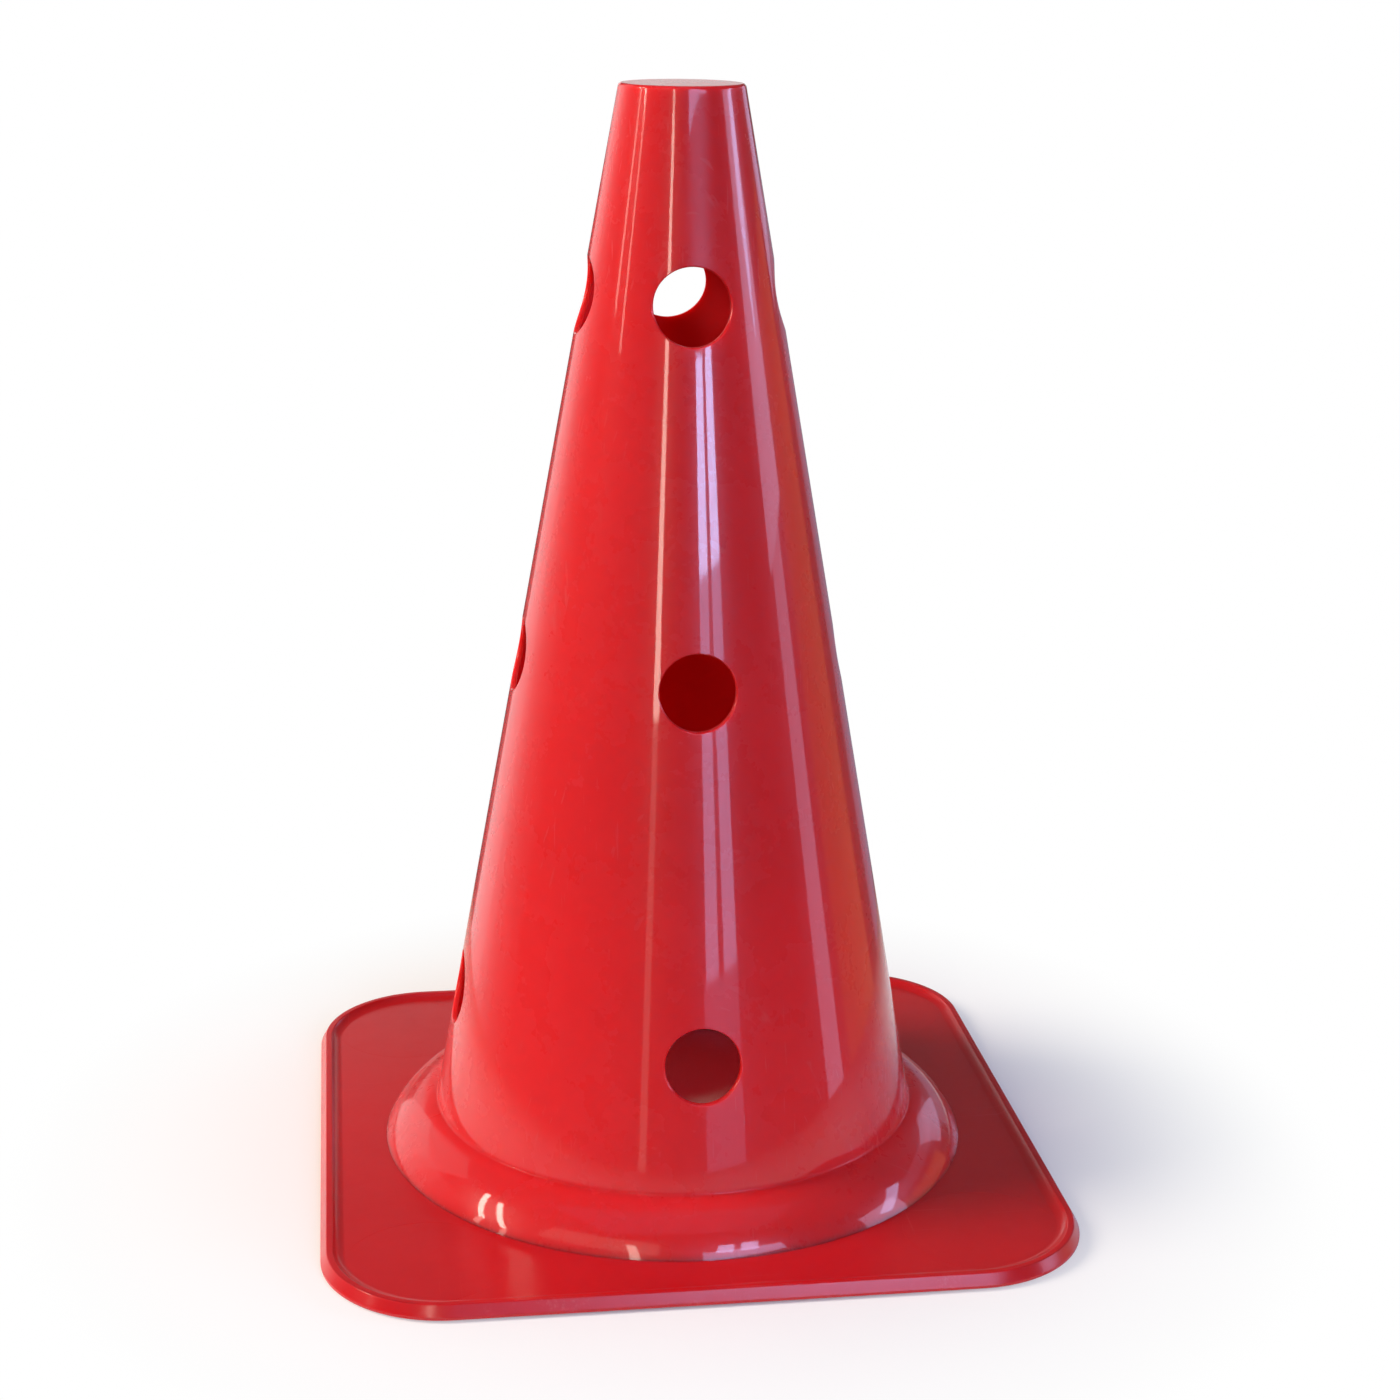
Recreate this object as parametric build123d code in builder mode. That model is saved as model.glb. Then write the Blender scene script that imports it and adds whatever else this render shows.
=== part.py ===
"""Sports marker cone with pole holes: a moulded cone snapped into a square tray on four grip pads.

Millimetres, +Z up. The origin is on the floor, under the cone's axis. The tray's front edge faces -Y.
"""

import os
from math import atan, cos, sqrt

from build123d import *
from build123d.topology import SkipClean

# Cone
overall_height = 400.0
cone_top_diameter = 44.4
cone_foot_diameter = 182.6
wall = 2.2
top_edge_radius = 1.2

# Pole holes, drilled level through opposite walls on four sides
pole_diameter = 25.0
pole_clearance = 1.0
lower_hole_height = 64.5
upper_hole_drop = 73.2
hole_arc_count = 8

# Collar round the foot of the cone
collar_height = 15.0
collar_width = 19.9
collar_bulge = 3.0
collar_foot_land = 2.4
collar_crease_radius = 1.0

# Base tray
plate_thickness = 3.0
rim_height = 5.0
rim_width = 4.4
rim_lip_height = 1.2
rim_outer_slope = 29.0
rim_edge_radius = 0.6
rim_cove_slope = 45.0
rim_cove_radius = 5.5
tray_corner_radius = 45.0
tray_foot_edge_radius = 0.4

# Grip pads in the tray's corners
pad_diameter = 56.0
pad_thickness = 2.0
pad_seat_depth = 1.2
pad_seat_clearance = 0.2
pad_edge_radius = 0.5
pad_groove_width = 1.2
pad_groove_depth = 0.5
pad_groove_pitch = 6.0
pad_groove_count = 3
pad_to_collar_gap = 2.0
pad_to_rim_gap = 3.9
seat_mark_width = 0.8
seat_mark_height = 0.2

# Snap joint between the cone and the tray
spigot_step = 6.1
spigot_thickness = 2.0
spigot_clearance = 0.3
hook_count = 12
hook_slot_width = 30.0
hook_slot_rise = 8.0
hook_barb = 1.2
hook_play = 0.1
hook_lead = 0.3
hook_lift = 0.2
ledge_thickness = 1.5
lug_count = 4
lug_clearance = 0.5

# Levels
tray_bottom = pad_thickness - pad_seat_depth
plate_top = tray_bottom + plate_thickness
ledge_bottom = plate_top - ledge_thickness
lip_top = tray_bottom + rim_lip_height
rim_top = tray_bottom + rim_height
crease_level = plate_top + collar_height
hook_bottom = tray_bottom + hook_lift

# Cone lines
cone_top_radius = cone_top_diameter / 2
cone_foot_radius = cone_foot_diameter / 2
cone_slope = (cone_foot_radius - cone_top_radius) / (overall_height - crease_level)
level_wall = wall / cos(atan(cone_slope))


def cone_radius(level):
    """Radius of the cone's outer side at a height above the floor."""
    return cone_top_radius + (overall_height - level) * cone_slope


# Pole holes
hole_radius = pole_diameter / 2 + pole_clearance
hole_arc = 360 / hole_arc_count
upper_hole_height = overall_height - upper_hole_drop
middle_hole_height = (lower_hole_height + upper_hole_height) / 2
hole_heights = [lower_hole_height, middle_hole_height, upper_hole_height]

# Collar and spigot
collar_foot_radius = cone_foot_radius + collar_width
inner_foot_radius = collar_foot_radius - collar_foot_land
inner_crease_level = crease_level - wall
inner_top_level = overall_height - wall
spigot_outer_radius = cone_foot_radius + spigot_step
spigot_inner_radius = spigot_outer_radius - spigot_thickness
spigot_middle_radius = (spigot_inner_radius + spigot_outer_radius) / 2
barb_radius = spigot_outer_radius + hook_barb
catch_level = ledge_bottom - hook_play
slot_depth = 2 * (spigot_thickness + hook_barb)
slot_height = plate_top + hook_slot_rise

# Pads and tray: each pad seat fits in its corner between the collar and the rim
pad_radius = pad_diameter / 2
pad_seat_radius = pad_radius + pad_seat_clearance
pad_offset = (collar_foot_radius + pad_to_collar_gap + pad_seat_radius) / sqrt(2)
tray_width = 2 * (pad_offset + pad_seat_radius + pad_to_rim_gap + rim_width)
tray_opening_radius = spigot_outer_radius + spigot_clearance
hook_recess_radius = barb_radius + spigot_clearance
pad_places = {
    "foot_pad_front_left": (-pad_offset, -pad_offset),
    "foot_pad_front_right": (pad_offset, -pad_offset),
    "foot_pad_back_left": (-pad_offset, pad_offset),
    "foot_pad_back_right": (pad_offset, pad_offset),
}

# Turned sections stand at 45 degrees, so that their seam runs between the holes
turning_plane = Plane.XZ.rotated((0, 0, 45))

# Section points that the outside and the hollow of the cone share, as radius and level
axis_foot = (0, hook_bottom)
spigot_top = (spigot_outer_radius, plate_top)
spigot_foot = (spigot_outer_radius, hook_bottom)

# Cone body: solid cone, collar and spigot core, then the hollow, the hooks and the holes
with BuildPart() as cone_body:
    with BuildSketch(turning_plane) as outer_section:
        with BuildLine():
            crease = (cone_foot_radius, crease_level)
            foot = (collar_foot_radius, plate_top)
            Polyline(axis_foot, (0, overall_height), (cone_top_radius, overall_height), crease)
            SagittaArc(crease, foot, collar_bulge)
            Polyline(foot, spigot_top, spigot_foot, axis_foot)
        make_face()
        top_corner = outer_section.vertices().sort_by_distance((cone_top_radius, overall_height))[0]
        fillet(top_corner, radius=top_edge_radius)
        crease_corner = outer_section.vertices().sort_by_distance(crease)[0]
        fillet(crease_corner, radius=collar_crease_radius)
    revolve(axis=Axis.Z)

    with BuildSketch(turning_plane):
        with BuildLine():
            inner_top = (cone_radius(inner_top_level) - level_wall, inner_top_level)
            inner_crease = (cone_radius(inner_crease_level) - level_wall, inner_crease_level)
            inner_foot = (inner_foot_radius, plate_top)
            Polyline(axis_foot, (0, inner_top_level), inner_top, inner_crease)
            SagittaArc(inner_crease, inner_foot, collar_bulge)
            Polyline(inner_foot, spigot_top, spigot_foot, axis_foot)
        make_face()
        with Locations((spigot_middle_radius, hook_bottom)):
            Rectangle(
                spigot_thickness,
                crease_level,
                align=(Align.CENTER, Align.MIN),
                mode=Mode.SUBTRACT,
            )
    revolve(axis=Axis.Z, mode=Mode.SUBTRACT)

    with BuildSketch(turning_plane):
        with BuildLine():
            Polyline(
                (spigot_middle_radius, catch_level),
                (barb_radius, catch_level),
                (spigot_outer_radius + hook_lead, hook_bottom),
                (spigot_middle_radius, hook_bottom),
                close=True,
            )
        make_face()
    revolve(axis=Axis.Z)

    with PolarLocations(spigot_middle_radius, hook_count):
        Box(
            slot_depth,
            hook_slot_width,
            slot_height,
            align=(Align.CENTER, Align.CENTER, Align.MIN),
            mode=Mode.SUBTRACT,
        )

    # Each hole is drawn in arcs, so that its wall, which slants with the cone, has a face on each side
    with SkipClean():
        for side in (Plane.XZ, Plane.YZ):
            for height in hole_heights:
                hole_plane = Plane((0, 0, height), x_dir=side.x_dir, z_dir=side.z_dir)
                arcs = []
                for arc in range(hole_arc_count):
                    arc_start = (arc + 0.5) * hole_arc
                    arcs.append(Edge.make_circle(hole_radius, hole_plane, arc_start, arc_start + hole_arc))
                hole = Face(Wire(arcs))
                extrude(hole, cone_foot_radius, both=True, clean=False, mode=Mode.SUBTRACT)

cone_body.part.label = "cone_body"

# Base tray: rimmed plate with the round opening, its hook ledge, the lugs and the pad seats
with BuildPart() as base_tray:
    with BuildSketch(Plane.XY.offset(tray_bottom)):
        RectangleRounded(tray_width, tray_width, tray_corner_radius)
    extrude(amount=rim_lip_height)
    fillet(base_tray.faces().sort_by(Axis.Z)[0].edges(), radius=tray_foot_edge_radius)

    # Above its lip the rim's outer face slopes inwards to the top
    with BuildSketch(Plane.XY.offset(lip_top)):
        RectangleRounded(tray_width, tray_width, tray_corner_radius)
    extrude(amount=rim_top - lip_top, taper=rim_outer_slope)
    fillet(base_tray.faces().sort_by(Axis.Z)[-1].edges(), radius=rim_edge_radius)

    pocket_width = tray_width - 2 * rim_width
    with BuildSketch(Plane.XY.offset(rim_top)):
        RectangleRounded(pocket_width, pocket_width, tray_corner_radius - rim_width)
    extrude(amount=plate_top - rim_top, taper=rim_cove_slope, mode=Mode.SUBTRACT)
    plate_edges = base_tray.edges().filter_by_position(Axis.Z, plate_top, plate_top)
    fillet(plate_edges, radius=rim_cove_radius)

    with BuildSketch(Plane.XY.offset(plate_top)):
        with Locations(*pad_places.values()):
            Circle(pad_seat_radius + seat_mark_width)
            Circle(pad_seat_radius, mode=Mode.SUBTRACT)
    extrude(amount=seat_mark_height)

    with BuildSketch(Plane.XY.offset(tray_bottom)):
        with Locations(*pad_places.values()):
            Circle(pad_seat_radius)
    extrude(amount=pad_seat_depth, mode=Mode.SUBTRACT)

    with BuildSketch(Plane.XY.offset(tray_bottom)):
        Circle(tray_opening_radius)
    extrude(amount=rim_height, mode=Mode.SUBTRACT)

    with BuildSketch(Plane.XY.offset(tray_bottom)):
        Circle(hook_recess_radius)
    extrude(amount=ledge_bottom - tray_bottom, mode=Mode.SUBTRACT)

    lug_width = hook_slot_width - 2 * lug_clearance
    with BuildSketch(Plane.XY.offset(ledge_bottom)):
        with PolarLocations((spigot_inner_radius + hook_recess_radius) / 2, lug_count):
            Rectangle(hook_recess_radius - spigot_inner_radius, lug_width)
    extrude(amount=ledge_thickness)

base_tray.part.label = "base_tray"

# Grip pads: soft discs with ring grooves in the face that stands on the floor
pads = []
for pad_name, pad_place in pad_places.items():
    with BuildPart() as foot_pad:
        with BuildSketch():
            with Locations(pad_place):
                Circle(pad_radius)
        extrude(amount=pad_thickness)
        fillet(foot_pad.faces().sort_by(Axis.Z)[0].edges(), radius=pad_edge_radius)
        with BuildSketch():
            with Locations(pad_place):
                for ring in range(pad_groove_count, 0, -1):
                    groove_radius = ring * pad_groove_pitch
                    Circle(groove_radius + pad_groove_width / 2)
                    Circle(groove_radius - pad_groove_width / 2, mode=Mode.SUBTRACT)
        extrude(amount=pad_groove_depth, mode=Mode.SUBTRACT)
    foot_pad.part.label = pad_name
    pads.append(foot_pad.part)

os.makedirs("parts", exist_ok=True)
for piece in [cone_body.part, base_tray.part, *pads]:
    export_step(piece, f"parts/{piece.label}.step")
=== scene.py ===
"""Looks of a sports marker cone: a glossy moulded cone with pole holes, set in a square tray on grip pads.

Metres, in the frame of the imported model: +Z up, floor at zero, the tray's front edge towards -Y.
"""

from math import atan, cos, pi, radians, sin, sqrt, tan

import bmesh
import bpy
from mathutils import Matrix, Quaternion, Vector


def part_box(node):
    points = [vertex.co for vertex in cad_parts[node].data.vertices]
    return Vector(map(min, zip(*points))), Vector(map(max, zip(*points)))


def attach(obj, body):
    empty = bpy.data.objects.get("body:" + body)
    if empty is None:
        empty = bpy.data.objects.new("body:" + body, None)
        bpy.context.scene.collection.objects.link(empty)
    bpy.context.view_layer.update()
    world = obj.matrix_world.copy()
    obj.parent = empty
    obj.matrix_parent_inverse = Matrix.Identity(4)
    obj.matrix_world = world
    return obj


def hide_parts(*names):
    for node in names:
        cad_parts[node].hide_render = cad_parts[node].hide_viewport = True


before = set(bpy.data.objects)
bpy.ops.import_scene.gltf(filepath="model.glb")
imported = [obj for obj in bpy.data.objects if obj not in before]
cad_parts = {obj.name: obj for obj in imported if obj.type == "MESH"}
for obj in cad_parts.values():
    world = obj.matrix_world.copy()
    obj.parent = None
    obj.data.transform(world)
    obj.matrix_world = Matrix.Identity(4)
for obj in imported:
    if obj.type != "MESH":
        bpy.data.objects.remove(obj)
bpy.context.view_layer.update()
cone_low, cone_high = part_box("cone_body")
tray_low, tray_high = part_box("base_tray")
pad_low, pad_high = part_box("foot_pad_front_left")

# Cone sizes
overall_height = cone_high.z
collar_foot_radius = cone_high.x
cone_top_radius = 0.0222
cone_foot_radius = 0.0913
wall = 0.0022
top_edge_radius = 0.0012
crease_level = 0.0188
crease_reach = 0.0007
collar_bulge = 0.003
collar_land = 0.0024
hole_radius = 0.0135
hole_levels = (0.0645, 0.19565, 0.3268)
hole_steps = 144
hole_lip = 0.0008
hole_lip_stand_off = 0.00022
band_count = 31
band_height = 0.0125
first_band_gap = 0.0015

# Snap fingers under the collar
finger_outer_radius = 0.0974
finger_inner_radius = 0.0954
barb_radius = 0.0986
barb_lead_radius = 0.0977
finger_foot = cone_low.z
barb_level = 0.0022
slot_count = 12
slot_width = 0.03
slot_reach = 0.0032
slot_top = 0.0118

# Tray sizes
tray_width = tray_high.x - tray_low.x
tray_bottom = tray_low.z
rim_top = tray_high.z
plate_top = 0.0038
tray_corner_radius = 0.045
corner_steps = 48
rim_width = 0.0044
lip_height = 0.0012
rim_slope = radians(29)
rim_edge_radius = 0.0006
lip_edge_reach = 0.0002
inner_rim_edge_reach = 0.0003
tray_foot_edge = 0.0004
cove_radius = 0.0055
cove_slope = radians(45)
opening_radius = 0.0977
recess_radius = 0.0989
ledge_bottom = 0.0023
lug_count = 4
lug_width = 0.029
lug_length = 0.01

# Pad sizes
pad_radius = (pad_high.x - pad_low.x) / 2
pad_offset = (pad_low.x + pad_high.x) / -2
pad_steps = 128
pad_foot_edge = 0.0005
pad_top_edge = 0.0002
groove_rings = (3, 2, 1)
groove_pitch = 0.006
groove_half = 0.0006
groove_depth = 0.0005
seat_radius = 0.0282
seat_depth = 0.0012
seat_steps = 160
mark_width = 0.0008
mark_height = 0.00003
mark_root = 0.0006
mark_well = 0.0004

ring_steps = 360
overcut = 0.001
tolerance = 1e-6
loose_tolerance = 1e-5
cone_slope = (cone_foot_radius - cone_top_radius) / (overall_height - crease_level)
level_wall = wall / cos(atan(cone_slope))


def cone_radius(level):
    """Radius of the cone's outer side at a level."""
    return cone_top_radius + (overall_height - level) * cone_slope


def take(piece):
    """Make one object the only selected and active one."""
    bpy.ops.object.select_all(action="DESELECT")
    piece.select_set(True)
    bpy.context.view_layer.objects.active = piece


def name_new(name):
    """Name the object that was just added."""
    piece = bpy.context.active_object
    piece.name = name
    piece.data.name = name
    return piece


def edit(piece, kind="FACE"):
    """Open a piece in edit mode with nothing selected."""
    take(piece)
    bpy.ops.object.mode_set(mode="EDIT")
    bpy.ops.mesh.select_mode(type=kind)
    bpy.ops.mesh.select_all(action="DESELECT")


def close_edit():
    """Merge doubles, turn the faces outwards and leave edit mode."""
    bpy.ops.mesh.select_all(action="SELECT")
    bpy.ops.mesh.remove_doubles(threshold=1e-7)
    bpy.ops.mesh.normals_make_consistent(inside=False)
    bpy.ops.object.mode_set(mode="OBJECT")


def pick_faces(piece, test):
    """Select the faces whose middle and normal pass a test, and nothing else."""
    bpy.ops.mesh.select_all(action="DESELECT")
    mesh = bmesh.from_edit_mesh(piece.data)
    for face in mesh.faces:
        if test(face.calc_center_median(), face.normal):
            face.select_set(True)
    mesh.select_flush_mode()
    bmesh.update_edit_mesh(piece.data)


def pick_edges(piece, test):
    """Select the edges whose two ends pass a test, and nothing else."""
    bpy.ops.mesh.select_all(action="DESELECT")
    mesh = bmesh.from_edit_mesh(piece.data)
    for edge in mesh.edges:
        if all(test(corner.co) for corner in edge.verts):
            edge.select_set(True)
    mesh.select_flush_mode()
    bmesh.update_edit_mesh(piece.data)


def pull(shift):
    """Extrude what is selected by a shift."""
    bpy.ops.mesh.extrude_region_move(TRANSFORM_OT_translate={"value": shift})


def round_off(reach, steps):
    """Round the selected edges."""
    bpy.ops.mesh.bevel(offset=reach, offset_type="OFFSET", segments=steps, profile=0.5, affect="EDGES")


def settle():
    """Put the active object's place, turn and size into its mesh."""
    bpy.ops.object.transform_apply(location=True, rotation=True, scale=True)


def pull_ring(before, after):
    """Extrude the selected end face from one radius and level to the next."""
    pull((0, 0, after[1] - before[1]))
    ratio = after[0] / before[0]
    bpy.ops.transform.resize(value=(ratio, ratio, 1), center_override=(0, 0, 0))


def turned(piece, angle):
    """Turn an object about the vertical axis and put the turn into its mesh."""
    piece.rotation_euler = (0, 0, angle)
    take(piece)
    settle()


def twin(piece):
    """A copy of an object with a mesh of its own."""
    take(piece)
    bpy.ops.object.duplicate(linked=False)
    return bpy.context.active_object


def joined(pieces):
    """Join several objects into the first of them."""
    bpy.ops.object.select_all(action="DESELECT")
    for piece in pieces:
        piece.select_set(True)
    bpy.context.view_layer.objects.active = pieces[0]
    bpy.ops.object.join()
    return bpy.context.active_object


def shaped_by(piece, tool, operation):
    """Cut a tool out of a piece, or add it on, and remove the tool."""
    take(piece)
    step = piece.modifiers.new("shape", "BOOLEAN")
    step.object = tool
    step.operation = operation
    step.solver = "EXACT"
    bpy.ops.object.modifier_apply(modifier=step.name)
    bpy.data.objects.remove(tool)


def block(name, low, high):
    """A box between two corners, for cutting or adding."""
    low = Vector(low)
    high = Vector(high)
    bpy.ops.mesh.primitive_cube_add(size=1, location=(low + high) / 2, scale=high - low)
    settle()
    return name_new(name)


def drum(name, radius, low, high, centre=(0, 0), steps=ring_steps):
    """An upright cylinder between two levels, for cutting or adding."""
    middle = (centre[0], centre[1], (low + high) / 2)
    bpy.ops.mesh.primitive_cylinder_add(vertices=steps, radius=radius, depth=high - low, location=middle)
    settle()
    return name_new(name)


def arc_middle(start, end, bulge):
    """Middle and radius of the arc that bulges outwards and upwards between two section points."""
    chord = Vector(end) - Vector(start)
    radius = chord.length_squared / (8 * bulge) + bulge / 2
    outwards = Vector((-chord.y, chord.x)).normalized()
    return (Vector(start) + Vector(end)) / 2 - outwards * (radius - bulge), radius


def arc_level(arc, radius):
    """Level at which an arc passes a distance from the axis."""
    middle, size = arc
    return middle.y + sqrt(size * size - (radius - middle.x) ** 2)


def arc_run(arc, start_radius, end_radius, steps):
    """Points along an arc from one distance from the axis to another, without the first."""
    radii = [start_radius + (end_radius - start_radius) * step / steps for step in range(1, steps + 1)]
    return [(radius, arc_level(arc, radius)) for radius in radii]


def smooth(piece, angle):
    """Shade a piece smooth up to an angle, with the large faces kept true beside small rounds."""
    take(piece)
    bpy.ops.object.shade_smooth_by_angle(angle=radians(angle))
    step = piece.modifiers.new("true_faces", "WEIGHTED_NORMAL")
    step.mode = "FACE_AREA"
    step.keep_sharp = True
    bpy.ops.object.modifier_apply(modifier=step.name)


def make_hole_cutter(shell, level):
    """Cutter for one hole mouth on the front side, with the rounded lip that follows the cone."""
    reach = cone_radius(level)
    bpy.ops.mesh.primitive_circle_add(
        vertices=hole_steps,
        radius=hole_radius + hole_lip,
        location=(0, -2 * reach, level),
        rotation=(pi / 2, 0, 0),
    )
    settle()
    cutter = name_new("hole_cutter")
    wrap = cutter.modifiers.new("on_cone", "SHRINKWRAP")
    wrap.target = shell
    wrap.wrap_method = "PROJECT"
    wrap.use_project_y = True
    wrap.use_positive_direction = True
    wrap.use_negative_direction = False
    bpy.ops.object.modifier_apply(modifier=wrap.name)
    edit(cutter, "EDGE")
    bpy.ops.mesh.select_all(action="SELECT")
    bpy.ops.transform.translate(value=(0, -hole_lip_stand_off, 0))

    # Section of the lip and the bore, as width beyond the hole and depth
    lip_section = ((hole_lip, 0), (0.00024, 0.00045), (0.00006, 0.00078), (0, 0.0012), (0, 0.015))
    for before, after in zip(lip_section, lip_section[1:]):
        pull((0, after[1] - before[1], 0))
        ratio = (hole_radius + after[0]) / (hole_radius + before[0])
        bpy.ops.transform.resize(value=(ratio, 1, ratio), center_override=(0, 0, level))
    bpy.ops.mesh.edge_face_add()
    bpy.ops.mesh.select_all(action="DESELECT")
    bpy.ops.mesh.select_non_manifold()
    outer_end = 0.01
    pull((0, -outer_end, 0))
    bpy.ops.transform.resize(value=(1, 0, 1), center_override=(0, -reach - outer_end, 0))
    bpy.ops.mesh.edge_face_add()
    close_edit()
    return cutter


def make_cone():
    """The moulded cone: frustum, collar, snap fingers and hollow in one wall, with twelve pole holes."""
    bpy.ops.mesh.primitive_cone_add(
        vertices=ring_steps,
        radius1=cone_foot_radius,
        radius2=cone_top_radius,
        depth=overall_height - crease_level,
        end_fill_type="NGON",
        location=(0, 0, (overall_height + crease_level) / 2),
    )
    settle()
    cone = name_new("marker_cone")
    edit(cone)

    # Level rings that divide the long side faces
    band_levels = [crease_level + first_band_gap + band_height * step for step in range(band_count)]
    for level in band_levels + [overall_height - wall]:
        bpy.ops.mesh.select_all(action="SELECT")
        bpy.ops.mesh.bisect(plane_co=(0, 0, level), plane_no=(0, 0, 1))

    # Collar, land, snap fingers and hollow, from the crease round to the ceiling inside
    crease = (cone_foot_radius, crease_level)
    foot = (collar_foot_radius, plate_top)
    collar = arc_middle(crease, foot, collar_bulge)
    inner_crease_level = crease_level - wall
    inner_top_level = overall_height - wall
    inner_crease = (cone_radius(inner_crease_level) - level_wall, inner_crease_level)
    inner_foot = (collar_foot_radius - collar_land, plate_top)
    lining = arc_middle(inner_crease, inner_foot, collar_bulge)
    section = [crease]
    section += arc_run(collar, cone_foot_radius, collar_foot_radius, steps=22)
    section += [inner_foot]
    section += arc_run(lining, inner_foot[0], finger_outer_radius, steps=6)
    section += [
        (finger_outer_radius, barb_level),
        (barb_radius, barb_level),
        (barb_lead_radius, finger_foot),
        (finger_inner_radius, finger_foot),
        (finger_inner_radius, arc_level(lining, finger_inner_radius)),
    ]
    section += arc_run(lining, finger_inner_radius, inner_crease[0], steps=4)
    section += [(cone_radius(inner_top_level) - level_wall, inner_top_level)]
    pick_faces(cone, lambda middle, normal: normal.z < -0.9)
    for before, after in zip(section, section[1:]):
        pull_ring(before, after)

    # Rounded top edge and the soft crease above the collar
    bpy.ops.mesh.select_mode(type="EDGE")
    pick_edges(cone, lambda place: place.z > overall_height - tolerance)
    round_off(top_edge_radius, steps=6)
    pick_edges(
        cone,
        lambda place: abs(place.z - crease_level) < tolerance
        and abs(place.xy.length - cone_foot_radius) < loose_tolerance,
    )
    round_off(crease_reach, steps=5)
    close_edit()

    # Pole holes on four sides and the slots between the snap fingers
    cutters = []
    for level in hole_levels:
        mouth = make_hole_cutter(cone, level)
        for quarter in range(1, 4):
            other = twin(mouth)
            turned(other, quarter * pi / 2)
            cutters.append(other)
        cutters.append(mouth)
    slot_middle = (finger_inner_radius + finger_outer_radius) / 2
    for turn in range(slot_count):
        slot = block(
            "slot_cutter",
            (slot_middle - slot_reach, -slot_width / 2, -overcut),
            (slot_middle + slot_reach, slot_width / 2, slot_top),
        )
        turned(slot, turn * 2 * pi / slot_count)
        cutters.append(slot)
    shaped_by(cone, joined(cutters), "DIFFERENCE")
    smooth(cone, angle=30)
    return cone


def make_tray():
    """The square tray: rimmed plate with the cone's opening, hook ledge, lugs, pad seats and seat marks."""
    bpy.ops.mesh.primitive_plane_add(size=tray_width, location=(0, 0, tray_bottom))
    settle()
    tray = name_new("square_tray")
    edit(tray, "VERT")
    bpy.ops.mesh.select_all(action="SELECT")
    bpy.ops.mesh.bevel(offset=tray_corner_radius, segments=corner_steps, profile=0.5, affect="VERTICES")
    bpy.ops.mesh.select_mode(type="FACE")
    bpy.ops.mesh.select_all(action="SELECT")
    pull((0, 0, lip_height))
    bpy.ops.mesh.select_all(action="SELECT")
    bpy.ops.mesh.normals_make_consistent(inside=False)

    # Slope of the rim above its lip, with soft edges
    lip_top = tray_bottom + lip_height
    slope_width = (rim_top - lip_top) * tan(rim_slope)
    pick_faces(tray, lambda middle, normal: normal.z > 0.99)
    bpy.ops.mesh.inset(thickness=slope_width, depth=0)
    bpy.ops.transform.translate(value=(0, 0, rim_top - lip_top))
    bpy.ops.mesh.select_mode(type="EDGE")
    edge_reach = rim_edge_radius * tan(pi / 4 - rim_slope / 2)
    edge_rounds = ((rim_top, edge_reach, 4), (lip_top, lip_edge_reach, 2), (tray_bottom, tray_foot_edge, 3))
    for level, reach, steps in edge_rounds:
        pick_edges(tray, lambda place: abs(place.z - level) < tolerance)
        round_off(reach, steps)

    # Flat of the rim, the slope inside it and the cove down to the plate
    bpy.ops.mesh.select_mode(type="FACE")
    pick_faces(tray, lambda middle, normal: normal.z > 0.99 and middle.xy.length < rim_width)
    bpy.ops.mesh.inset(thickness=rim_width - slope_width - edge_reach, depth=0)
    slope = rim_top - plate_top
    bpy.ops.mesh.inset(thickness=slope, depth=0)
    bpy.ops.transform.translate(value=(0, 0, -slope))
    bpy.ops.mesh.select_mode(type="EDGE")
    inner_edge = tray_width / 2 - rim_width
    pick_edges(tray, lambda place: abs(place.z - plate_top) < tolerance)
    cove_reach = cove_radius * tan(cove_slope / 2)
    round_off(cove_reach, steps=8)
    pick_edges(
        tray,
        lambda place: abs(place.z - rim_top) < tolerance
        and max(abs(place.x), abs(place.y)) < inner_edge + loose_tolerance,
    )
    round_off(inner_rim_edge_reach, steps=3)
    close_edit()

    # Seat marks: low rings that stand proud of the plate over each pad seat
    for across in (-1, 1):
        for along in (-1, 1):
            place = (across * pad_offset, along * pad_offset)
            mark_radius = seat_radius + mark_width
            mark_foot = plate_top - mark_root
            mark = drum("seat_mark", mark_radius, mark_foot, plate_top + mark_height, place, seat_steps)
            edit(mark)
            pick_faces(mark, lambda middle, normal: normal.z > 0.99)
            round_off(mark_height, steps=2)
            pick_faces(mark, lambda middle, normal: normal.z > 0.999)
            bpy.ops.mesh.inset(thickness=mark_width - 2 * mark_height, depth=0)
            bpy.ops.mesh.inset(thickness=mark_height, depth=0)
            bpy.ops.transform.translate(value=(0, 0, -mark_well))
            close_edit()
            shaped_by(tray, mark, "UNION")
            seat_top = tray_bottom + seat_depth
            seat = drum("pad_seat", seat_radius, tray_bottom - overcut, seat_top, place, seat_steps)
            shaped_by(tray, seat, "DIFFERENCE")

    # Opening under the cone: the lugs are left standing when it is cut
    opening = drum("cone_opening", opening_radius, tray_bottom - overcut, rim_top + overcut)
    for turn in range(lug_count):
        lug = block(
            "lug",
            (finger_inner_radius, -lug_width / 2, ledge_bottom),
            (finger_inner_radius + lug_length, lug_width / 2, plate_top),
        )
        turned(lug, turn * 2 * pi / lug_count)
        shaped_by(opening, lug, "DIFFERENCE")
    shaped_by(tray, opening, "DIFFERENCE")
    recess = drum("hook_recess", recess_radius, tray_bottom - overcut, ledge_bottom)
    shaped_by(tray, recess, "DIFFERENCE")
    smooth(tray, angle=30)
    return tray


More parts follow.
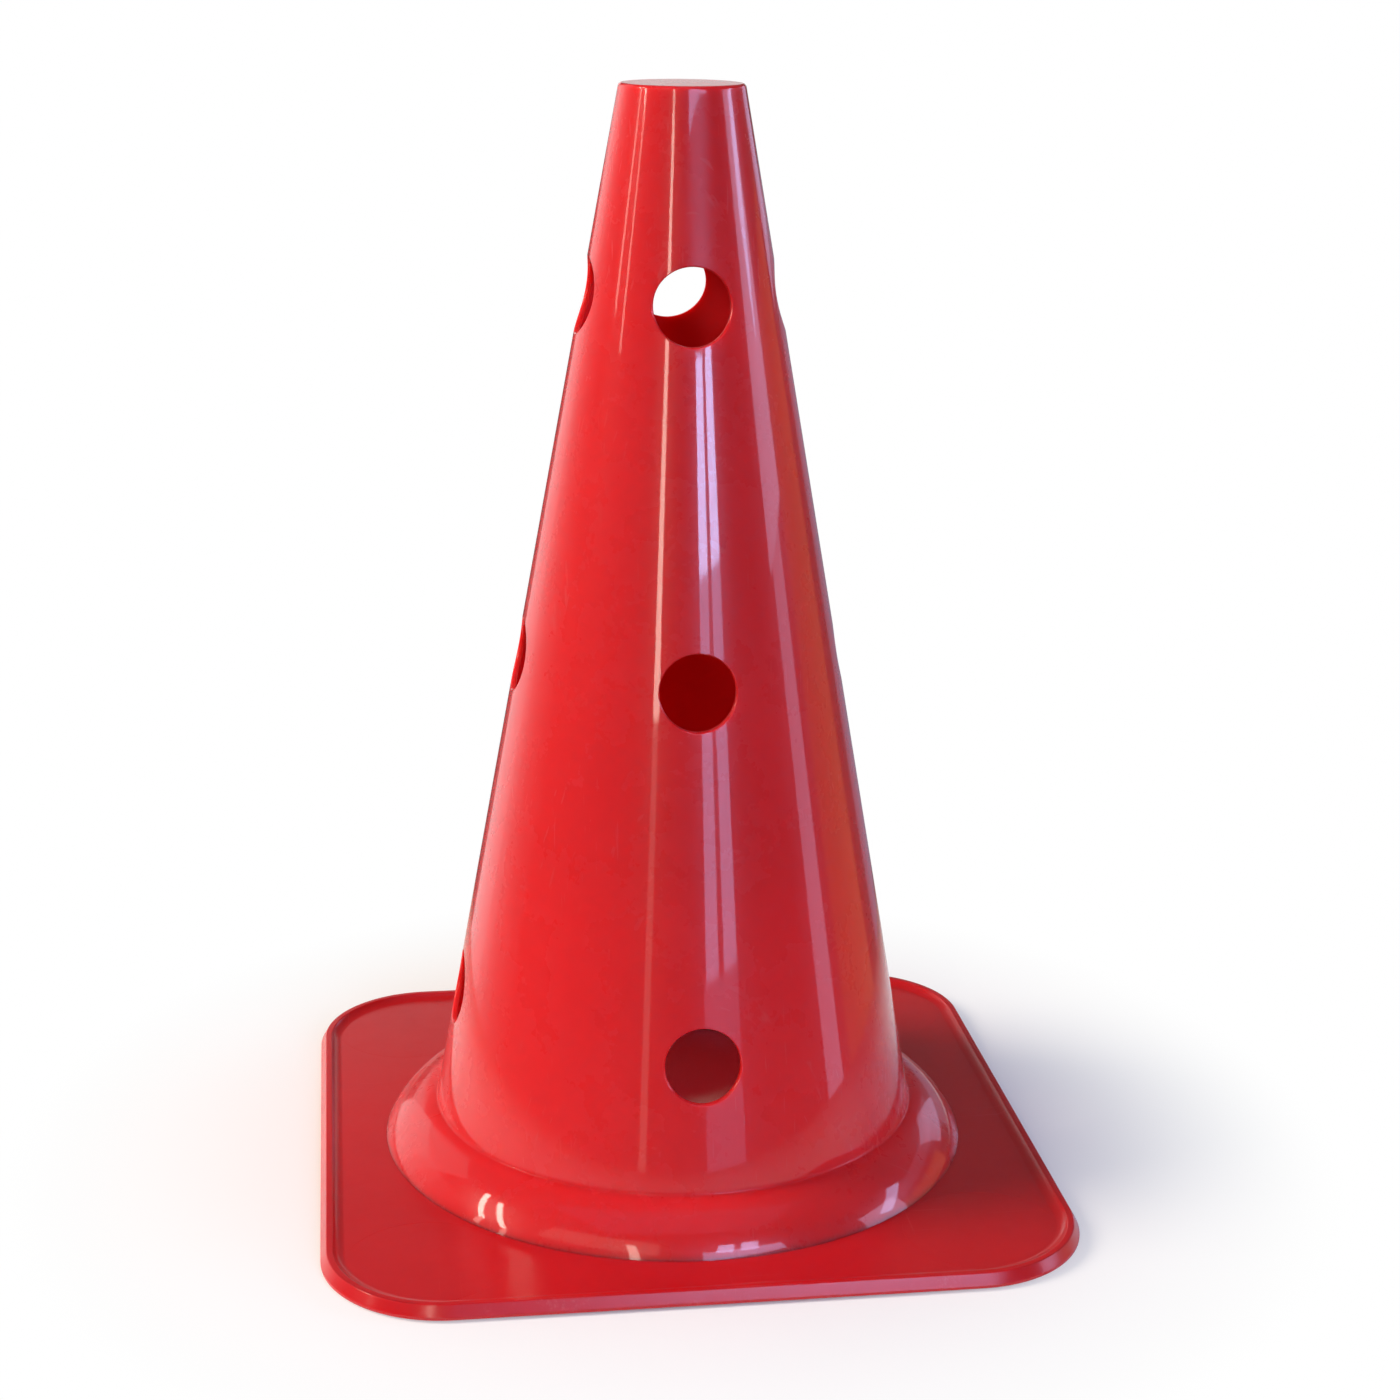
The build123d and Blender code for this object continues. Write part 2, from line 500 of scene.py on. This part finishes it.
def make_pad():
    """One grip pad at the front left: a soft disc with ring grooves in the face on the floor."""
    place = Vector((-pad_offset, -pad_offset, 0))
    pad = drum("grip_pad_front_left", pad_radius, pad_low.z, pad_high.z, place.xy, pad_steps)
    edit(pad, "EDGE")
    pick_edges(pad, lambda corner: corner.z < pad_low.z + tolerance)
    round_off(pad_foot_edge, steps=4)
    pick_edges(pad, lambda corner: corner.z > pad_high.z - tolerance)
    round_off(pad_top_edge, steps=2)
    bpy.ops.mesh.select_mode(type="FACE")
    pick_faces(pad, lambda middle, normal: normal.z < -0.999)
    reach = pad_radius - pad_foot_edge
    for ring in groove_rings:
        for edge in (ring * groove_pitch + groove_half, ring * groove_pitch - groove_half):
            bpy.ops.mesh.inset(thickness=reach - edge, depth=0)
            reach = edge
    for ring in groove_rings:
        middle_radius = ring * groove_pitch
        pick_faces(
            pad,
            lambda middle, normal: normal.z < -0.999
            and abs((middle - place).xy.length - middle_radius) < groove_half
            and middle.z < pad_low.z + tolerance,
        )
        pull((0, 0, groove_depth))
    close_edit()
    smooth(pad, angle=35)
    return pad


def socket(tree, name, kind, side, value=None):
    """Add a named socket to a node group."""
    made = tree.interface.new_socket(name=name, in_out=side, socket_type=kind)
    if value is not None:
        made.default_value = value


def new_group(name, inputs, outputs):
    """A shader node group with named inputs and outputs."""
    tree = bpy.data.node_groups.new(name, "ShaderNodeTree")
    for label, kind, value in inputs:
        socket(tree, label, kind, "INPUT", value)
    for label, kind in outputs:
        socket(tree, label, kind, "OUTPUT")
    return tree, tree.nodes.new("NodeGroupInput"), tree.nodes.new("NodeGroupOutput")


def sum_of(tree, operation, first, second=None):
    """A Math node between two sockets or numbers."""
    node = tree.nodes.new("ShaderNodeMath")
    node.operation = operation
    for slot, value in zip(node.inputs, (first, second)):
        if value is None:
            continue
        if isinstance(value, (int, float)):
            slot.default_value = value
        else:
            tree.links.new(value, slot)
    return node.outputs[0]


def range_of(tree, value, low, high, to_low, to_high):
    """A clamped Map Range node."""
    node = tree.nodes.new("ShaderNodeMapRange")
    node.clamp = True
    node.interpolation_type = "SMOOTHSTEP"
    tree.links.new(value, node.inputs["Value"])
    node.inputs["From Min"].default_value = low
    node.inputs["From Max"].default_value = high
    node.inputs["To Min"].default_value = to_low
    node.inputs["To Max"].default_value = to_high
    return node.outputs["Result"]


def parts_of(tree, place):
    """The X, Y and Z of a place."""
    node = tree.nodes.new("ShaderNodeSeparateXYZ")
    tree.links.new(place, node.inputs[0])
    return node.outputs


def noise_of(tree, vector, scale, detail, roughness=0.5):
    """A noise texture on given coordinates."""
    node = tree.nodes.new("ShaderNodeTexNoise")
    node.inputs["Scale"].default_value = scale
    node.inputs["Detail"].default_value = detail
    node.inputs["Roughness"].default_value = roughness
    tree.links.new(vector, node.inputs["Vector"])
    return node.outputs["Fac"]


def stretched(tree, vector, scale, turn=(0, 0, 0)):
    """Coordinates turned and stretched by a Mapping node."""
    node = tree.nodes.new("ShaderNodeMapping")
    node.inputs["Scale"].default_value = scale
    node.inputs["Rotation"].default_value = turn
    tree.links.new(vector, node.inputs["Vector"])
    return node.outputs["Vector"]


def mix_colours(tree, amount, first, second):
    """A colour mix between two sockets or colours."""
    node = tree.nodes.new("ShaderNodeMix")
    node.data_type = "RGBA"
    tree.links.new(amount, node.inputs["Factor"])
    for slot, value in ((node.inputs["A"], first), (node.inputs["B"], second)):
        if isinstance(value, tuple):
            slot.default_value = value
        else:
            tree.links.new(value, slot)
    return node.outputs["Result"]


def make_tone_group():
    """Slow cloudy change of a plastic's colour, as pigment leaves it in the mould."""
    tree, given, result = new_group(
        "pigment_clouds",
        [
            ("Vector", "NodeSocketVector", None),
            ("Deep", "NodeSocketColor", (0.5, 0.02, 0.02, 1)),
            ("Bright", "NodeSocketColor", (0.7, 0.03, 0.03, 1)),
        ],
        [("Colour", "NodeSocketColor")],
    )
    slow = noise_of(tree, given.outputs["Vector"], scale=9, detail=3)
    fine = noise_of(tree, given.outputs["Vector"], scale=140, detail=2)
    both = sum_of(tree, "ADD", sum_of(tree, "MULTIPLY", slow, 0.8), sum_of(tree, "MULTIPLY", fine, 0.2))
    amount = range_of(tree, both, 0.32, 0.68, 0, 1)
    colour = mix_colours(tree, amount, given.outputs["Deep"], given.outputs["Bright"])
    tree.links.new(colour, result.inputs["Colour"])
    return tree


def make_flow_group():
    """Fine lines that run down a turned mould, slow waves of the wall and a rubbed haze."""
    tree, given, result = new_group(
        "mould_flow",
        [("Vector", "NodeSocketVector", None)],
        [("Lines", "NodeSocketFloat"), ("Waves", "NodeSocketFloat"), ("Haze", "NodeSocketFloat")],
    )
    parts = parts_of(tree, given.outputs["Vector"])
    round_place = tree.nodes.new("ShaderNodeCombineXYZ")
    tree.links.new(parts["X"], round_place.inputs["X"])
    tree.links.new(parts["Y"], round_place.inputs["Y"])
    facing = tree.nodes.new("ShaderNodeVectorMath")
    facing.operation = "NORMALIZE"
    tree.links.new(round_place.outputs[0], facing.inputs[0])
    around = parts_of(tree, facing.outputs["Vector"])
    unrolled = tree.nodes.new("ShaderNodeCombineXYZ")
    tree.links.new(around["X"], unrolled.inputs["X"])
    tree.links.new(around["Y"], unrolled.inputs["Y"])
    tree.links.new(sum_of(tree, "MULTIPLY", parts["Z"], 0.12), unrolled.inputs["Z"])
    lines = noise_of(tree, unrolled.outputs[0], scale=70, detail=4, roughness=0.6)
    tree.links.new(lines, result.inputs["Lines"])
    waves = noise_of(tree, stretched(tree, given.outputs["Vector"], (1, 1, 0.35)), scale=26, detail=1)
    tree.links.new(waves, result.inputs["Waves"])
    cloud = noise_of(tree, given.outputs["Vector"], scale=30, detail=5, roughness=0.65)
    tree.links.new(range_of(tree, cloud, 0.42, 0.72, 0, 1), result.inputs["Haze"])
    return tree


def make_scratch_group():
    """Sparse hair scratches in two directions, kept to patches where things rub."""
    tree, given, result = new_group(
        "hair_scratches",
        [("Vector", "NodeSocketVector", None)],
        [("Scratches", "NodeSocketFloat")],
    )
    cloud = noise_of(tree, given.outputs["Vector"], scale=14, detail=2)
    patches = range_of(tree, cloud, 0.48, 0.66, 0, 1)
    found = []
    for turn, scale in (((0.5, 0.2, 0.7), (900, 9, 60)), ((0.1, 1.1, -0.4), (14, 800, 90))):
        streak = noise_of(tree, stretched(tree, given.outputs["Vector"], scale, turn), scale=1, detail=2)
        found.append(range_of(tree, streak, 0.66, 0.74, 0, 1))
    lines = sum_of(tree, "MAXIMUM", found[0], found[1])
    tree.links.new(sum_of(tree, "MULTIPLY", lines, patches), result.inputs["Scratches"])
    return tree


def make_rub_group():
    """Rubbed and nicked places between two values of a measure, such as a level."""
    tree, given, result = new_group(
        "rubbed_edge",
        [
            ("Vector", "NodeSocketVector", None),
            ("Measure", "NodeSocketFloat", 0.0),
            ("Start", "NodeSocketFloat", 0.0),
            ("Full", "NodeSocketFloat", 1.0),
        ],
        [("Rub", "NodeSocketFloat")],
    )
    reach = tree.nodes.new("ShaderNodeMapRange")
    reach.clamp = True
    tree.links.new(given.outputs["Measure"], reach.inputs["Value"])
    tree.links.new(given.outputs["Start"], reach.inputs["From Min"])
    tree.links.new(given.outputs["Full"], reach.inputs["From Max"])
    blotches = noise_of(tree, given.outputs["Vector"], scale=60, detail=4, roughness=0.6)
    coarse = range_of(tree, blotches, 0.5, 0.7, 0, 1)
    nicks = noise_of(tree, given.outputs["Vector"], scale=700, detail=3, roughness=0.7)
    fine = range_of(tree, nicks, 0.45, 0.7, 0, 1)
    marks = sum_of(tree, "MULTIPLY", coarse, fine)
    tree.links.new(sum_of(tree, "MULTIPLY", marks, reach.outputs["Result"]), result.inputs["Rub"])
    return tree


def place_group(tree, group, links):
    """Place a node group in a material and link its inputs."""
    node = tree.nodes.new("ShaderNodeGroup")
    node.node_tree = group
    for label, value in links.items():
        if isinstance(value, (int, float, tuple)):
            node.inputs[label].default_value = value
        else:
            tree.links.new(value, node.inputs[label])
    return node


def new_material(name):
    """A material with its shader and Object coordinates."""
    material = bpy.data.materials.new(name)
    material.use_nodes = True
    tree = material.node_tree
    coordinates = tree.nodes.new("ShaderNodeTexCoord")
    return material, tree, tree.nodes["Principled BSDF"], coordinates.outputs["Object"]


def add_bump(tree, height, distance, strength, onto=None):
    """A Bump node on a height, over another bump if one is given."""
    node = tree.nodes.new("ShaderNodeBump")
    node.inputs["Distance"].default_value = distance
    node.inputs["Strength"].default_value = strength
    tree.links.new(height, node.inputs["Height"])
    if onto is not None:
        tree.links.new(onto, node.inputs["Normal"])
    return node.outputs["Normal"]


def height_above(tree, place):
    """The Z of a place."""
    return parts_of(tree, place)["Z"]


def hollow_side(tree, place):
    """A mask that is 1 on the hollow side of the cone's wall and 0 on its outer side and top."""
    parts = parts_of(tree, place)
    across = sum_of(tree, "POWER", parts["X"], 2)
    along = sum_of(tree, "POWER", parts["Y"], 2)
    reach = sum_of(tree, "SQRT", sum_of(tree, "ADD", across, along))
    shrink = sum_of(tree, "MULTIPLY", parts["Z"], cone_slope)
    outer_side = sum_of(tree, "SUBTRACT", cone_radius(0), shrink)
    depth = sum_of(tree, "SUBTRACT", outer_side, reach)
    within = range_of(tree, depth, 0.4 * wall, 0.6 * wall, 0, 1)
    top = overall_height - wall / 2
    below_top = range_of(tree, parts["Z"], top - 0.0004, top + 0.0004, 1, 0)
    return sum_of(tree, "MULTIPLY", within, below_top)


def rim_distance(tree, place):
    """The larger of the distances from the middle in X and Y, which grows towards the tray's edges."""
    parts = parts_of(tree, place)
    across = sum_of(tree, "ABSOLUTE", parts["X"])
    along = sum_of(tree, "ABSOLUTE", parts["Y"])
    return sum_of(tree, "MAXIMUM", across, along)


tone_group = make_tone_group()
flow_group = make_flow_group()
scratch_group = make_scratch_group()
rub_group = make_rub_group()


def let_light_through(shader, depth):
    """Let some red light into the plastic, as far as a depth, so that a thin wall glows."""
    shader.inputs["Subsurface Weight"].default_value = 1.0
    shader.inputs["Subsurface Radius"].default_value = (1.0, 0.06, 0.06)
    shader.inputs["Subsurface Scale"].default_value = depth


def make_cone_plastic():
    """Glossy red plastic of the cone."""
    material, tree, shader, place = new_material("cone_gloss_red")
    tone = place_group(
        tree,
        tone_group,
        {"Vector": place, "Deep": (0.71, 0.016, 0.019, 1), "Bright": (0.75, 0.019, 0.022, 1)},
    )
    flow = place_group(tree, flow_group, {"Vector": place})
    scratch = place_group(tree, scratch_group, {"Vector": place})
    foot_rub = place_group(
        tree,
        rub_group,
        {"Vector": place, "Measure": height_above(tree, place), "Start": 0.012, "Full": 0.004},
    )
    worn = sum_of(tree, "MAXIMUM", scratch.outputs["Scratches"], foot_rub.outputs["Rub"])
    pale = sum_of(tree, "MULTIPLY", worn, 0.16)
    rubbed_red = (0.80, 0.20, 0.20, 1)
    colour = mix_colours(tree, pale, tone.outputs["Colour"], rubbed_red)
    tree.links.new(colour, shader.inputs["Base Color"])
    haze = sum_of(tree, "MULTIPLY", flow.outputs["Haze"], 0.07)
    hollow = hollow_side(tree, place)
    dull = sum_of(tree, "ADD", sum_of(tree, "MULTIPLY", worn, 0.2), sum_of(tree, "MULTIPLY", hollow, 0.3))
    tree.links.new(sum_of(tree, "ADD", dull, sum_of(tree, "ADD", haze, 0.26)), shader.inputs["Roughness"])
    above_crease = sum_of(tree, "SUBTRACT", height_above(tree, place), crease_level)
    from_crease = sum_of(tree, "ABSOLUTE", above_crease)
    gloss = range_of(tree, from_crease, 0.0006, 0.002, 0.1, 0.8)
    outside = sum_of(tree, "SUBTRACT", 1, hollow)
    tree.links.new(sum_of(tree, "MULTIPLY", gloss, outside), shader.inputs["Coat Weight"])
    shader.inputs["Coat Roughness"].default_value = 0.035
    shader.inputs["Coat IOR"].default_value = 1.5
    shader.inputs["Specular IOR Level"].default_value = 0.2
    let_light_through(shader, depth=0.008)
    waves = add_bump(tree, flow.outputs["Waves"], distance=0.00004, strength=0.6)
    lines = add_bump(tree, flow.outputs["Lines"], distance=0.000012, strength=0.5, onto=waves)
    relief = add_bump(tree, worn, distance=0.00002, strength=-0.4, onto=lines)
    tree.links.new(relief, shader.inputs["Normal"])
    return material


def make_tray_plastic():
    """Red plastic of the tray, a little deeper and softer in gloss, rubbed along the rim."""
    material, tree, shader, place = new_material("tray_satin_red")
    tone = place_group(
        tree,
        tone_group,
        {"Vector": place, "Deep": (0.54, 0.008, 0.012, 1), "Bright": (0.59, 0.010, 0.014, 1)},
    )
    flow = place_group(tree, flow_group, {"Vector": place})
    scratch = place_group(tree, scratch_group, {"Vector": place})
    edge = rim_distance(tree, place)
    rim_rub = place_group(
        tree,
        rub_group,
        {"Vector": place, "Measure": edge, "Start": tray_width / 2 - 0.006, "Full": tray_width / 2 - 0.001},
    )
    worn = sum_of(tree, "MAXIMUM", scratch.outputs["Scratches"], rim_rub.outputs["Rub"])
    pale = sum_of(tree, "MULTIPLY", worn, 0.2)
    rubbed_red = (0.78, 0.22, 0.22, 1)
    colour = mix_colours(tree, pale, tone.outputs["Colour"], rubbed_red)
    tree.links.new(colour, shader.inputs["Base Color"])
    haze = sum_of(tree, "MULTIPLY", flow.outputs["Haze"], 0.1)
    rough = sum_of(tree, "ADD", sum_of(tree, "MULTIPLY", worn, 0.2), sum_of(tree, "ADD", haze, 0.3))
    tree.links.new(rough, shader.inputs["Roughness"])
    shader.inputs["Coat Weight"].default_value = 0.7
    shader.inputs["Coat Roughness"].default_value = 0.17
    shader.inputs["Specular IOR Level"].default_value = 0.2
    let_light_through(shader, depth=0.0008)
    waves = add_bump(tree, flow.outputs["Waves"], distance=0.00006, strength=0.7)
    relief = add_bump(tree, worn, distance=0.00003, strength=-0.5, onto=waves)
    tree.links.new(relief, shader.inputs["Normal"])
    return material


def make_pad_rubber():
    """Matt black rubber of the grip pads, with dust caught in its grain."""
    material, tree, shader, place = new_material("pad_black_rubber")
    tone = place_group(
        tree,
        tone_group,
        {"Vector": place, "Deep": (0.022, 0.022, 0.024, 1), "Bright": (0.042, 0.042, 0.045, 1)},
    )
    grain = noise_of(tree, place, scale=900, detail=4, roughness=0.65)
    rub = place_group(
        tree,
        rub_group,
        {"Vector": place, "Measure": height_above(tree, place), "Start": 0.0012, "Full": 0.0},
    )
    dust = sum_of(tree, "MULTIPLY", rub.outputs["Rub"], 0.5)
    dust_grey = (0.2, 0.19, 0.17, 1)
    colour = mix_colours(tree, dust, tone.outputs["Colour"], dust_grey)
    tree.links.new(colour, shader.inputs["Base Color"])
    tree.links.new(range_of(tree, grain, 0.3, 0.7, 0.68, 0.9), shader.inputs["Roughness"])
    shader.inputs["Specular IOR Level"].default_value = 0.3
    tree.links.new(add_bump(tree, grain, distance=0.00008, strength=0.6), shader.inputs["Normal"])
    return material


def make_floor_white():
    """Pale floor that takes the shadow near the cone, shows white further out and dims in reflections."""
    material, tree, shader, place = new_material("floor_white")
    shader.inputs["Roughness"].default_value = 0.9
    shader.inputs["Specular IOR Level"].default_value = 0.0
    grain = noise_of(tree, place, scale=220, detail=3)
    tree.links.new(add_bump(tree, grain, distance=0.0001, strength=0.15), shader.inputs["Normal"])
    distance = tree.nodes.new("ShaderNodeVectorMath")
    distance.operation = "LENGTH"
    tree.links.new(place, distance.inputs[0])
    dim = range_of(tree, distance.outputs["Value"], 0.2, 0.36, 0, 1)
    near_white = (0.97, 0.94, 0.9, 1)
    far_brown = (0.24, 0.10, 0.05, 1)
    colour = mix_colours(tree, dim, near_white, far_brown)
    tree.links.new(colour, shader.inputs["Base Color"])
    far = range_of(tree, distance.outputs["Value"], 0.1, 0.26, 0, 1)
    light = tree.nodes.new("ShaderNodeLightPath")
    seen = sum_of(tree, "MAXIMUM", light.outputs["Is Camera Ray"], light.outputs["Is Transmission Ray"])
    white = tree.nodes.new("ShaderNodeEmission")
    white.inputs["Color"].default_value = (1, 1, 1, 1)
    blend = tree.nodes.new("ShaderNodeMixShader")
    tree.links.new(sum_of(tree, "MULTIPLY", far, seen), blend.inputs["Fac"])
    tree.links.new(shader.outputs["BSDF"], blend.inputs[1])
    tree.links.new(white.outputs["Emission"], blend.inputs[2])
    tree.links.new(blend.outputs["Shader"], tree.nodes["Material Output"].inputs["Surface"])
    return material


def dress(piece, material, slot, *nodes):
    """Give a piece its material, stand it in for its nodes and let it ride on the part."""
    piece.data.materials.clear()
    piece.data.materials.append(material)
    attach(piece, "root")
    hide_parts(*nodes)


# The object
dress(make_cone(), make_cone_plastic(), "cone_plastic", "cone_body")
dress(make_tray(), make_tray_plastic(), "tray_plastic", "base_tray")
rubber = make_pad_rubber()
first_pad = make_pad()
pads = {"front_left": (0, 0), "front_right": (2, 0), "back_left": (0, 2), "back_right": (2, 2)}
for corner, (across, along) in pads.items():
    if corner == "front_left":
        pad = first_pad
    else:
        pad = twin(first_pad)
        pad.name = "grip_pad_" + corner
        pad.data.name = pad.name
        pad.location = (across * pad_offset, along * pad_offset, 0)
        take(pad)
        settle()
    dress(pad, rubber, "pad_rubber", "foot_pad_" + corner)

# Floor, a hair below the pads
floor_radius = 0.32
floor_level = -0.0001
bpy.ops.object.select_all(action="DESELECT")
bpy.ops.mesh.primitive_circle_add(
    vertices=128,
    radius=floor_radius,
    fill_type="NGON",
    location=(0, 0, floor_level),
)
settle()
floor = name_new("floor")
floor.data.materials.append(make_floor_white())

# Camera, where the photo was taken
eye = Vector((-0.1205, -0.9168, 0.4542))
aim = Vector((0.00864, -0.00122, 0.17596))
roll = radians(0.673)
ahead = (aim - eye).normalized()
level_right = ahead.cross(Vector((0, 0, 1))).normalized()
level_up = level_right.cross(ahead)
right = cos(roll) * level_right + sin(roll) * level_up
up = cos(roll) * level_up - sin(roll) * level_right
lens = bpy.data.cameras.new("photo_view")
lens.sensor_width = 36
lens.lens = 66.67
lens.clip_end = 100
camera = bpy.data.objects.new("photo_view", lens)
camera.matrix_world = Matrix.Translation(eye) @ Matrix((right, up, -ahead)).transposed().to_4x4()
bpy.context.scene.collection.objects.link(camera)
bpy.context.scene.camera = camera


# Lights, hung round the cone
camera_bearing = radians(-97.5)
panel_distance = 2.1


def hang_lamp(name, shape, width, height, colour, energy):
    """An area lamp that the camera doesn't see."""
    lamp = bpy.data.lights.new(name, "AREA")
    lamp.shape = shape
    lamp.size = width
    lamp.size_y = height
    lamp.color = colour
    lamp.energy = energy
    hung = bpy.data.objects.new(name, lamp)
    hung.visible_camera = False
    bpy.context.scene.collection.objects.link(hung)
    return hung


def hang_panel(name, side, spread, low, high, colour, radiance, lean=0, mirrored=True):
    """A soft light panel that faces the cone, between two levels.

    Side is its bearing from the camera's, to the right, spread its width as seen from the cone, and lean
    the turn of its top to the left, all in degrees. A panel that isn't mirrored lights the cone but makes
    no reflection.
    """
    bearing = camera_bearing + radians(side)
    width = 2 * panel_distance * tan(radians(spread / 2))
    height = (high - low) / cos(radians(lean))
    panel = hang_lamp(name, "RECTANGLE", width, height, colour, radiance * pi * width * height)
    place = Vector((panel_distance * cos(bearing), panel_distance * sin(bearing), (low + high) / 2))
    panel.location = place
    facing = (Vector((0, 0, place.z)) - place).to_track_quat("-Z", "Y")
    panel.rotation_euler = (facing @ Quaternion((0, 0, 1), radians(lean))).to_euler()
    panel.visible_glossy = mirrored


cream = (1.0, 0.90, 0.76)
lilac = (0.66, 0.64, 1.0)
sky = (0.42, 0.58, 1.0)
pale = (1.0, 0.95, 0.95)
orange = (1.0, 0.3, 0.08)

# Left windows: the main light, two narrow strips that glint, and dimmer ones below
hang_panel("left_light", -84, 26, 0.9, 2.2, cream, 15.8, mirrored=False)
hang_panel("left_strip", -89, 3.0, 0.9, 2.2, cream, 20, lean=32)
hang_panel("left_strip_foot", -78, 3.0, 0.6, 0.9, cream, 5)
hang_panel("left_second_strip", -78, 3.0, 0.9, 2.2, cream, 20, lean=32)
hang_panel("left_second_strip_foot", -66, 2.4, 0.6, 0.9, cream, 5)

# Front: a thin slit, a pair of cool panes and dim light round them
hang_panel("front_slit", -13.5, 3.8, 0.3, 1.0, cream, 11)
hang_panel("front_slit_foot", -13.5, 3.4, -0.3, 0.3, cream, 1.1)
hang_panel("front_slit_head", -15.5, 4.0, 1.0, 1.9, cream, 8, lean=9)
for pane, side, head_side, spread in (("left", 20.0, 22.0, 6.8), ("right", 29.8, 32.0, 7.2)):
    hang_panel(f"front_pane_{pane}", side, spread, 0.46, 0.76, sky, 21)
    hang_panel(f"front_pane_{pane}_foot", side, spread, 0.0, 0.46, sky, 5)
    hang_panel(f"front_pane_{pane}_head", head_side, spread, 1.25, 1.85, sky, 12, lean=-10)
hang_panel("front_floor_sheen", 24.5, 18, -0.4, 0.0, sky, 1.2)
hang_panel("front_fill", -30, 50, 1.3, 2.4, cream, 0.8)
hang_panel("front_sky", 28, 32, 1.0, 1.4, sky, 6)

# Right and back: dimmer panes, a warm card and pale walls
hang_panel("right_pane", 87, 20, 0.3, 1.0, lilac, 3.6)
hang_panel("right_pane_foot", 85, 11, -0.4, 0.3, lilac, 2.2)
hang_panel("right_slant_pane", 97, 7, 0.6, 1.3, sky, 7, lean=-45)
hang_panel("right_warm_card", 113, 32, -0.6, 0.5, orange, 0.7)
hang_panel("right_wall", 120, 70, 0.7, 1.1, lilac, 0.3)
hang_panel("back_right_wall", 143, 18, 0.3, 1.0, lilac, 1.3)
hang_panel("back_right_floor_sheen", 155, 24, -0.6, 0.3, lilac, 0.3)
hang_panel("back_left_wall", -137, 26, -0.7, 1.1, pale, 0.9)
hang_panel("back_left_wall_head", -132, 36, 1.1, 2.0, pale, 0.5)
for step, radiance in enumerate((0.65, 0.42, 0.26, 0.13)):
    hang_panel(f"left_wall_fade_{step}", 8 * step - 120, 8, -0.7, 1.1, pale, radiance)
hang_panel("back_left_far_wall", -162, 24, 0.3, 0.85, pale, 0.5)
hang_panel("back_wall", 180, 36, 0.44, 0.64, pale, 0.7)

# Cool light from above
roof_width = 2.2
roof_depth = 1.6
roof_energy = 0.3 * pi * roof_width * roof_depth
roof = hang_lamp("roof_light", "RECTANGLE", roof_width, roof_depth, sky, roof_energy)
roof.location = (0, -0.5, 2.4)

# Red light that the thin wall lets into the hollow
glow_width = 0.06
glow_red = (1.0, 0.02, 0.05)
glow = hang_lamp("hollow_glow", "DISK", glow_width, glow_width, glow_red, energy=0.016)
glow.location = (0, 0, 0.13)

# Even room light, and white where the floor ends
world = bpy.data.worlds.new("room")
bpy.context.scene.world = world
world.use_nodes = True
room = world.node_tree
room_light = room.nodes["Background"]
room_light.inputs["Color"].default_value = (0.97, 0.98, 1.0, 1)
room_light.inputs["Strength"].default_value = 0.08
backdrop = room.nodes.new("ShaderNodeBackground")
backdrop.inputs["Color"].default_value = (1, 1, 1, 1)
backdrop.inputs["Strength"].default_value = 1.0
path = room.nodes.new("ShaderNodeLightPath")
either = room.nodes.new("ShaderNodeMixShader")
room.links.new(path.outputs["Is Camera Ray"], either.inputs["Fac"])
room.links.new(room_light.outputs["Background"], either.inputs[1])
room.links.new(backdrop.outputs["Background"], either.inputs[2])
room.links.new(either.outputs["Shader"], room.nodes["World Output"].inputs["Surface"])
bpy.context.scene.view_settings.view_transform = "Standard"
